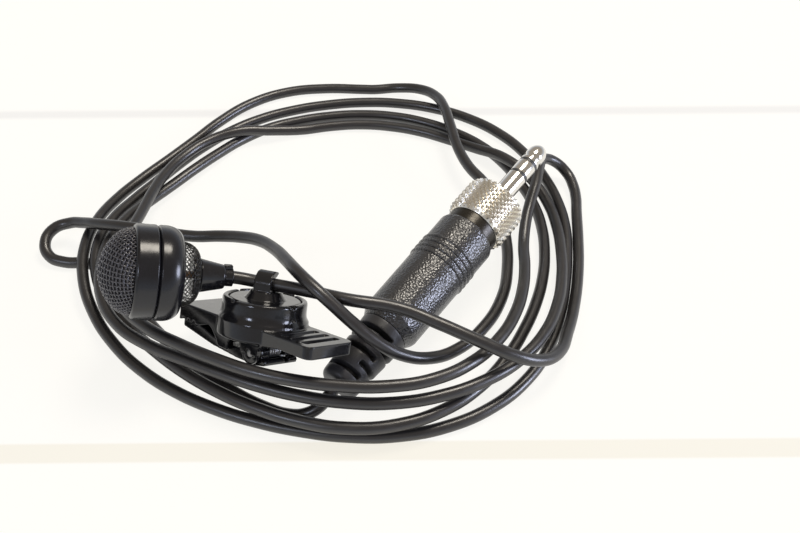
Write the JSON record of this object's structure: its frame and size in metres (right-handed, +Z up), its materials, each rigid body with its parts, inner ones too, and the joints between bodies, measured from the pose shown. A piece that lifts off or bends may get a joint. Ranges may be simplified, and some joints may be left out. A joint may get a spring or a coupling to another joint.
{
  "type": "lavalier microphone",
  "caption": "Small clip-on microphone: round screened head, thin coiled cable held by a swivelling spring clip, and a 3.5 mm plug with a knurled locking ring.",
  "frame": {"origin": "under the middle of the head and clip, on the surface they lie on", "axes": "+Z up, +X to the right along the front of the coil, +Y away, across the coil"},
  "size_m": [0.0976, 0.0912, 0.0263],
  "materials": {
    "screen": "black woven metal",
    "gloss_black": "gloss",
    "foam": "open-cell foam",
    "aluminium_can": "satin",
    "rubber": "satin",
    "board": "matte",
    "brown_sleeve": "matte",
    "cable_jacket": "satin",
    "grained_black": "fine grain",
    "nickel": "polished nickel",
    "insulator": "satin",
    "spring_steel": "drawn"
  },
  "bodies": {
    "mic": {"head_mesh": "screen", "front_shell": "gloss_black", "rear_shell": "gloss_black", "rear_mesh": "screen", "foam_liner": "foam", "capsule": "aluminium_can", "capsule_seat": "rubber", "capsule_board": "board", "lead_sleeve": "brown_sleeve", "boot": "gloss_black", "cable_ferrule": "nickel", "cable_holder": "gloss_black", "cable_mic_run": "cable_jacket", "cable_coil": "cable_jacket", "cable_plug_run": "cable_jacket", "strain_relief": "rubber", "barrel": "grained_black", "plug_leads": "brown_sleeve", "plug_body": "nickel", "jack_tip": "nickel", "tip_insulator": "insulator", "jack_ring": "nickel", "ring_insulator": "insulator"},
    "ring": {"locking_ring": "nickel"},
    "clip": {"upper_jaw": "gloss_black", "hinge_pin": "spring_steel", "torsion_spring": "spring_steel"},
    "jaw": {"lower_jaw": "gloss_black"}
  },
  "joints": [
    {"name": "clip_swivel", "type": "hinge", "parent": "mic", "child": "clip", "pos_m": [0.0049, 0.00075, 0.0097], "axis": [0.1241, 0.5719, 0.8109], "range_deg": [-75, 0]},
    {"name": "jaw_hinge", "type": "hinge", "parent": "clip", "child": "jaw", "pos_m": [0.00623, -0.00315, 0.00707], "axis": [-0.6621, -0.561, 0.4969], "range_deg": [0, 15], "stiffness_Nm_per_rad": 0.03, "springref_deg": -28.65, "deforming": ["torsion_spring"]},
    {"name": "ring_turn", "type": "hinge", "parent": "mic", "child": "ring", "pos_m": [0.03894, 0.02167, 0.01046], "axis": [0.5951, 0.7869, 0.1633], "continuous": true}
  ]
}
